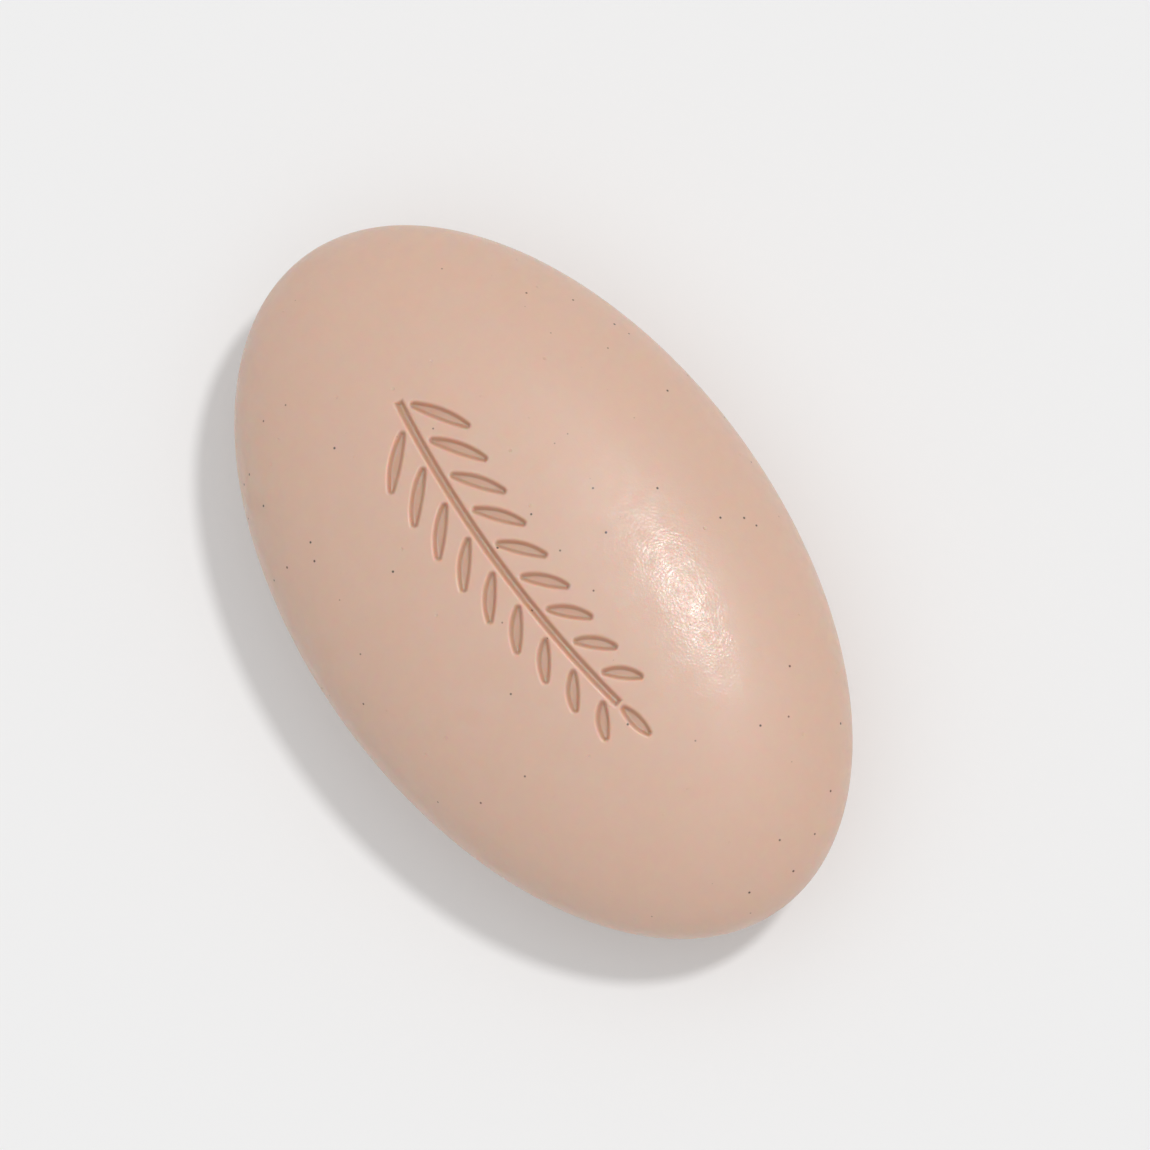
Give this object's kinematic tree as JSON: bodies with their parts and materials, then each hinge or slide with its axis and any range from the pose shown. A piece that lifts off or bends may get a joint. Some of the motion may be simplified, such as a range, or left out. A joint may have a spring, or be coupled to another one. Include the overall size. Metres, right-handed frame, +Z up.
{
  "type": "bar of soap",
  "caption": "Oval pressed bar of soap with domed faces, a narrow upright land round the waist and a leaf sprig debossed in the top; it rests on a small flat spot.",
  "frame": {"origin": "middle of the flat spot under the bar that it rests on, which is also the middle of its bounding box's bottom", "axes": "+X along the bar's length, from the sprig's foot towards its end leaf; +Y across its width; +Z up through the stamped face"},
  "size_m": [0.095, 0.057, 0.0301],
  "materials": {
    "soap": "satin"
  },
  "bodies": {
    "root": {"soap_bar": "soap"}
  },
  "joints": []
}
